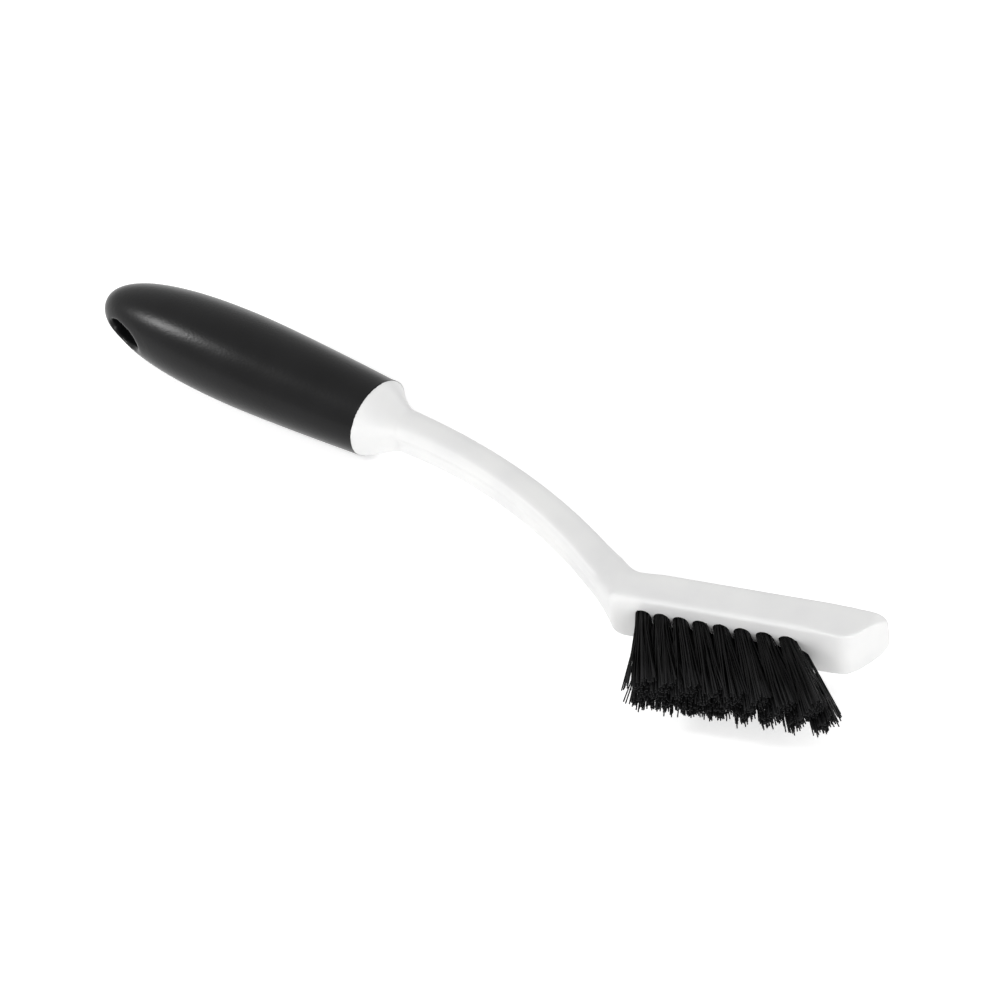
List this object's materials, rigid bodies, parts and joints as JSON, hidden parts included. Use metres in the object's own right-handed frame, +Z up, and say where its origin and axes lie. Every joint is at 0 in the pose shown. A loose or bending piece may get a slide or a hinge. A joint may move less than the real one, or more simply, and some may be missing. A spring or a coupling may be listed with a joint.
{
  "type": "grout brush",
  "caption": "Grout brush with a black rubber grip, a hanging hole, a curved white neck and a narrow pointed head set with rows of black tufts that lean toward the toe.",
  "frame": {"origin": "centre of the hanging hole, on the axis of the hole and of the handle", "axes": "the brush lies on its side: +X runs from the hanging hole toward the toe, along the bristle face; +Y points toward the head's back, away from the bristles, along the hanging hole; +Z points up, out of the side of the head and grip"},
  "size_m": [0.2326, 0.1038, 0.0252],
  "materials": {
    "body_plastic": "white moulded polypropylene, satin",
    "grip_rubber": "black thermoplastic rubber, soft sheen",
    "filament": "black nylon filament",
    "anchor_wire": "flat brass-plated wire"
  },
  "bodies": {
    "root": {"body": "body_plastic", "grip": "grip_rubber", "anchors": "anchor_wire", "tuft_01": "filament", "tuft_02": "filament", "tuft_03": "filament", "tuft_04": "filament", "tuft_05": "filament", "tuft_06": "filament", "tuft_07": "filament", "tuft_08": "filament", "tuft_09": "filament", "tuft_10": "filament", "tuft_11": "filament", "tuft_12": "filament", "tuft_13": "filament", "tuft_14": "filament", "tuft_15": "filament", "tuft_16": "filament"}
  },
  "joints": []
}
